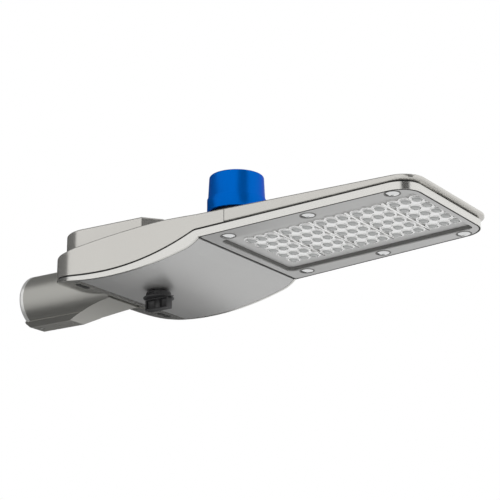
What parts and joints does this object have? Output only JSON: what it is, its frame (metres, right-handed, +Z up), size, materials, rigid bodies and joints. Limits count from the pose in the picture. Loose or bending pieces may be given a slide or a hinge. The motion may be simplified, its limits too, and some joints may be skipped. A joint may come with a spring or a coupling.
{
  "type": "LED street light head",
  "caption": "Grey LED street light head with a round pole spigot, belly gear door with a quarter-turn knob, flat lens panel and blue shorting cap on top.",
  "frame": {"origin": "centre of the spigot's mouth, where the pole end goes in", "axes": "+X along the spigot's axis towards the LED end, +Z up, towards the shorting cap; the LED panel faces down"},
  "size_m": [0.725, 0.2658, 0.1879],
  "materials": {
    "housing_paint": "semi-gloss",
    "frame_paint": "semi-gloss",
    "spigot_paint": "semi-gloss",
    "seal_rubber": "matte",
    "lens_plastic": "clear",
    "board_aluminium": "matte",
    "led_phosphor": "satin",
    "stainless": "satin",
    "black_plastic": "matte",
    "cap_blue": "satin",
    "contact_brass": "polished",
    "zinc_steel": "satin",
    "driver_case": "matte",
    "surge_resin": "matte",
    "terminal_plastic": "matte"
  },
  "bodies": {
    "head": {"rear_housing": "housing_paint", "heat_sink": "housing_paint", "lower_frame": "frame_paint", "frame_gasket": "seal_rubber", "door_hinge_pins": "stainless", "latch_keeper": "zinc_steel", "led_bezel": "frame_paint", "bezel_gasket": "seal_rubber", "bezel_screws": "stainless", "led_chips": "led_phosphor", "spigot": "spigot_paint", "set_screws": "stainless", "spigot_bolts": "zinc_steel", "cable_grommet": "seal_rubber", "socket_gasket": "seal_rubber", "control_socket": "black_plastic", "socket_screws": "zinc_steel", "gear_tray": "zinc_steel", "tray_screws": "zinc_steel", "led_driver": "driver_case", "surge_protector": "surge_resin", "terminal_block": "terminal_plastic", "frame_screws": "zinc_steel", "seam_screws": "zinc_steel", "lens_plate_1": "lens_plastic", "led_board_1": "board_aluminium", "lens_plate_2": "lens_plastic", "led_board_2": "board_aluminium", "lens_plate_3": "lens_plastic", "led_board_3": "board_aluminium", "lens_plate_4": "lens_plastic", "led_board_4": "board_aluminium", "lens_plate_5": "lens_plastic", "led_board_5": "board_aluminium"},
    "door": {"gear_door": "frame_paint", "door_gasket": "seal_rubber"},
    "latch": {"latch_knob": "black_plastic", "latch_stud": "stainless", "latch_pin": "stainless", "latch_clip": "stainless"},
    "cap": {"shorting_cap": "cap_blue", "cap_base": "black_plastic", "cap_blades": "contact_brass"}
  },
  "joints": [
    {"name": "door_hinge", "type": "hinge", "parent": "head", "child": "door", "pos_m": [0.392, 0, 0.0063], "axis": [0, -1, 0], "range_deg": [0, 80]},
    {"name": "latch_turn", "type": "hinge", "parent": "door", "child": "latch", "pos_m": [0.26, -0.028, -0.03], "axis": [0, 0, 1], "range_deg": [0, 90]},
    {"name": "cap_twist", "type": "hinge", "parent": "head", "child": "cap", "pos_m": [0.377, 0, 0.0843], "axis": [0, 0, 1], "range_deg": [0, 35]}
  ]
}
